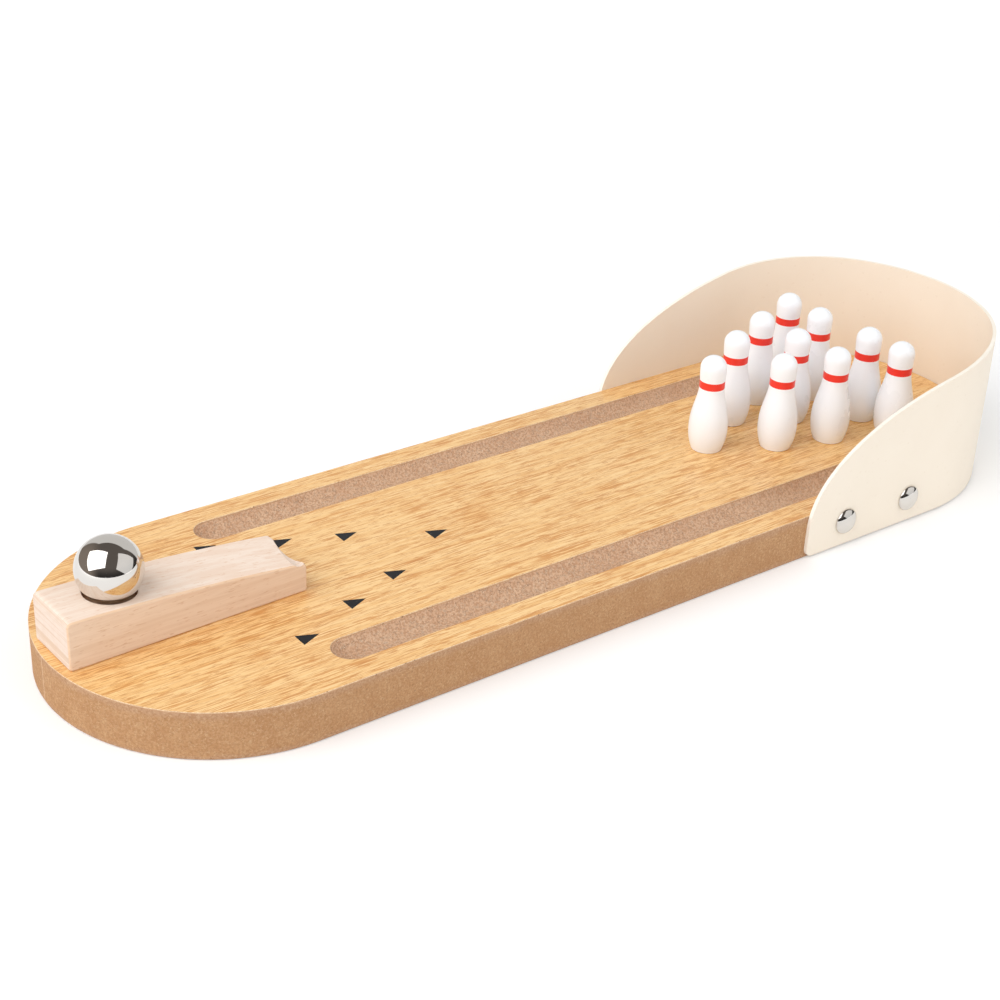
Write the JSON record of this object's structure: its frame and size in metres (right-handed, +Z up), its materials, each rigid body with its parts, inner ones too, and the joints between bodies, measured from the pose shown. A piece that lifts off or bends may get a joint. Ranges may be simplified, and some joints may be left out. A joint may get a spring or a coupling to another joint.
{
  "type": "tabletop bowling game",
  "caption": "Tabletop bowling game: a round-ended lane board with side gutters, a bent backstop round loose pins, and a small wooden ramp that carries a steel ball.",
  "frame": {"origin": "middle of the whole game's underside", "axes": "+X to the player's right across the lane, +Y along the lane from the player to the pins, +Z up"},
  "size_m": [0.1138, 0.3454, 0.0522],
  "materials": {
    "fibreboard": "raw medium-density fibreboard, specked, matt",
    "printed_oak": "printed oak grain under a satin varnish, with small black lane arrows",
    "cream_sheet": "smooth satin cream sheet",
    "beech": "bare sanded beech with short flecks",
    "steel": "polished steel",
    "white_gloss": "gloss white paint with one red band round the neck"
  },
  "bodies": {
    "board": {"base_board": "fibreboard", "lane_sheet": "printed_oak", "backstop": "cream_sheet", "nail_right_front": "steel", "nail_right_rear": "steel", "nail_left_front": "steel", "nail_left_rear": "steel"},
    "ramp": {"launch_ramp": "beech"},
    "ball": {"steel_ball": "steel"},
    "pin_01": {"pin_01": "white_gloss"},
    "pin_02": {"pin_02": "white_gloss"},
    "pin_03": {"pin_03": "white_gloss"},
    "pin_04": {"pin_04": "white_gloss"},
    "pin_05": {"pin_05": "white_gloss"},
    "pin_06": {"pin_06": "white_gloss"},
    "pin_07": {"pin_07": "white_gloss"},
    "pin_08": {"pin_08": "white_gloss"},
    "pin_09": {"pin_09": "white_gloss"},
    "pin_10": {"pin_10": "white_gloss"}
  },
  "joints": [
    {"name": "ramp_swivel", "type": "hinge", "parent": "board", "child": "ramp", "pos_m": [-0.0016, -0.15236, 0.015], "axis": [0, 0, 1], "range_deg": [-20, 20]},
    {"name": "ball_lift", "type": "slide", "parent": "ramp", "child": "ball", "axis": [0, 0, 1], "range_m": [0, 0.04]},
    {"name": "pin_01_lift", "type": "slide", "parent": "board", "child": "pin_01", "axis": [0, 0, 1], "range_m": [0, 0.04]},
    {"name": "pin_02_lift", "type": "slide", "parent": "board", "child": "pin_02", "axis": [0, 0, 1], "range_m": [0, 0.04]},
    {"name": "pin_03_lift", "type": "slide", "parent": "board", "child": "pin_03", "axis": [0, 0, 1], "range_m": [0, 0.04]},
    {"name": "pin_04_lift", "type": "slide", "parent": "board", "child": "pin_04", "axis": [0, 0, 1], "range_m": [0, 0.04]},
    {"name": "pin_05_lift", "type": "slide", "parent": "board", "child": "pin_05", "axis": [0, 0, 1], "range_m": [0, 0.04]},
    {"name": "pin_06_lift", "type": "slide", "parent": "board", "child": "pin_06", "axis": [0, 0, 1], "range_m": [0, 0.04]},
    {"name": "pin_07_lift", "type": "slide", "parent": "board", "child": "pin_07", "axis": [0, 0, 1], "range_m": [0, 0.04]},
    {"name": "pin_08_lift", "type": "slide", "parent": "board", "child": "pin_08", "axis": [0, 0, 1], "range_m": [0, 0.04]},
    {"name": "pin_09_lift", "type": "slide", "parent": "board", "child": "pin_09", "axis": [0, 0, 1], "range_m": [0, 0.04]},
    {"name": "pin_10_lift", "type": "slide", "parent": "board", "child": "pin_10", "axis": [0, 0, 1], "range_m": [0, 0.04]}
  ]
}
